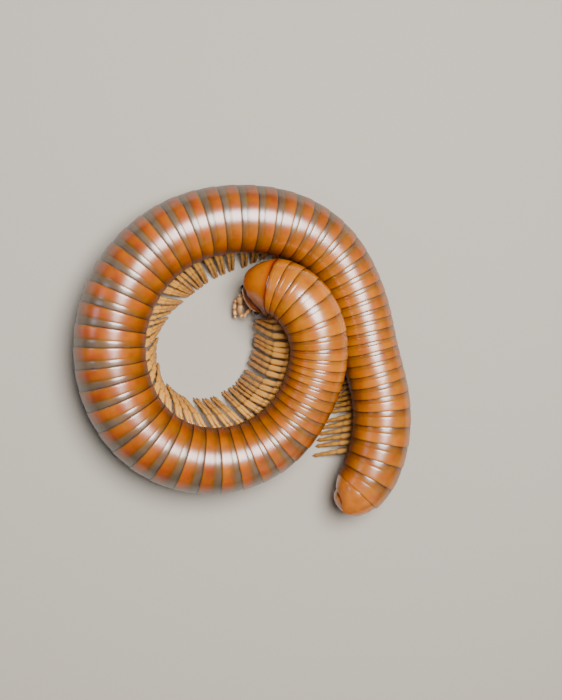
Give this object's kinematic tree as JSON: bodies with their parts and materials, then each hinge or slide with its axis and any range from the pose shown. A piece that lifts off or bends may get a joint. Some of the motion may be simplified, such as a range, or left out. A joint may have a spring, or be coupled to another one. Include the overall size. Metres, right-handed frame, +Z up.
{
  "type": "giant millipede",
  "caption": "Still, life-size model of an orange giant millipede, resting in a loose coil with its head tucked inside.",
  "frame": {"origin": "centre of the bounding box seen from above, on the ground the animal rests on", "axes": "+Z up, away from the ground; +X to the right and +Y up the picture as the coil is seen from above"},
  "size_m": [0.0648, 0.064, 0.0182],
  "materials": {
    "ring_shell": "glossy",
    "neck_shell": "glossy",
    "head_shell": "glossy",
    "tail_shell": "glossy",
    "limb": "satin",
    "eye": "glossy"
  },
  "bodies": {
    "root": {"head": "head_shell", "cheek_left": "head_shell", "cheek_right": "head_shell", "chin": "head_shell", "eye_left": "eye", "eye_right": "eye", "feeler_left": "limb", "feeler_right": "limb", "neck_shield": "neck_shell", "trunk_01": "ring_shell", "trunk_02": "ring_shell", "trunk_03": "ring_shell", "trunk_04": "ring_shell", "trunk_05": "ring_shell", "trunk_06": "ring_shell", "trunk_07": "ring_shell", "trunk_08": "ring_shell", "trunk_09": "ring_shell", "trunk_10": "ring_shell", "trunk_11": "ring_shell", "trunk_12": "ring_shell", "trunk_13": "ring_shell", "tail_cap": "tail_shell", "tail_valve_left": "tail_shell", "tail_valve_right": "tail_shell"}
  },
  "joints": []
}
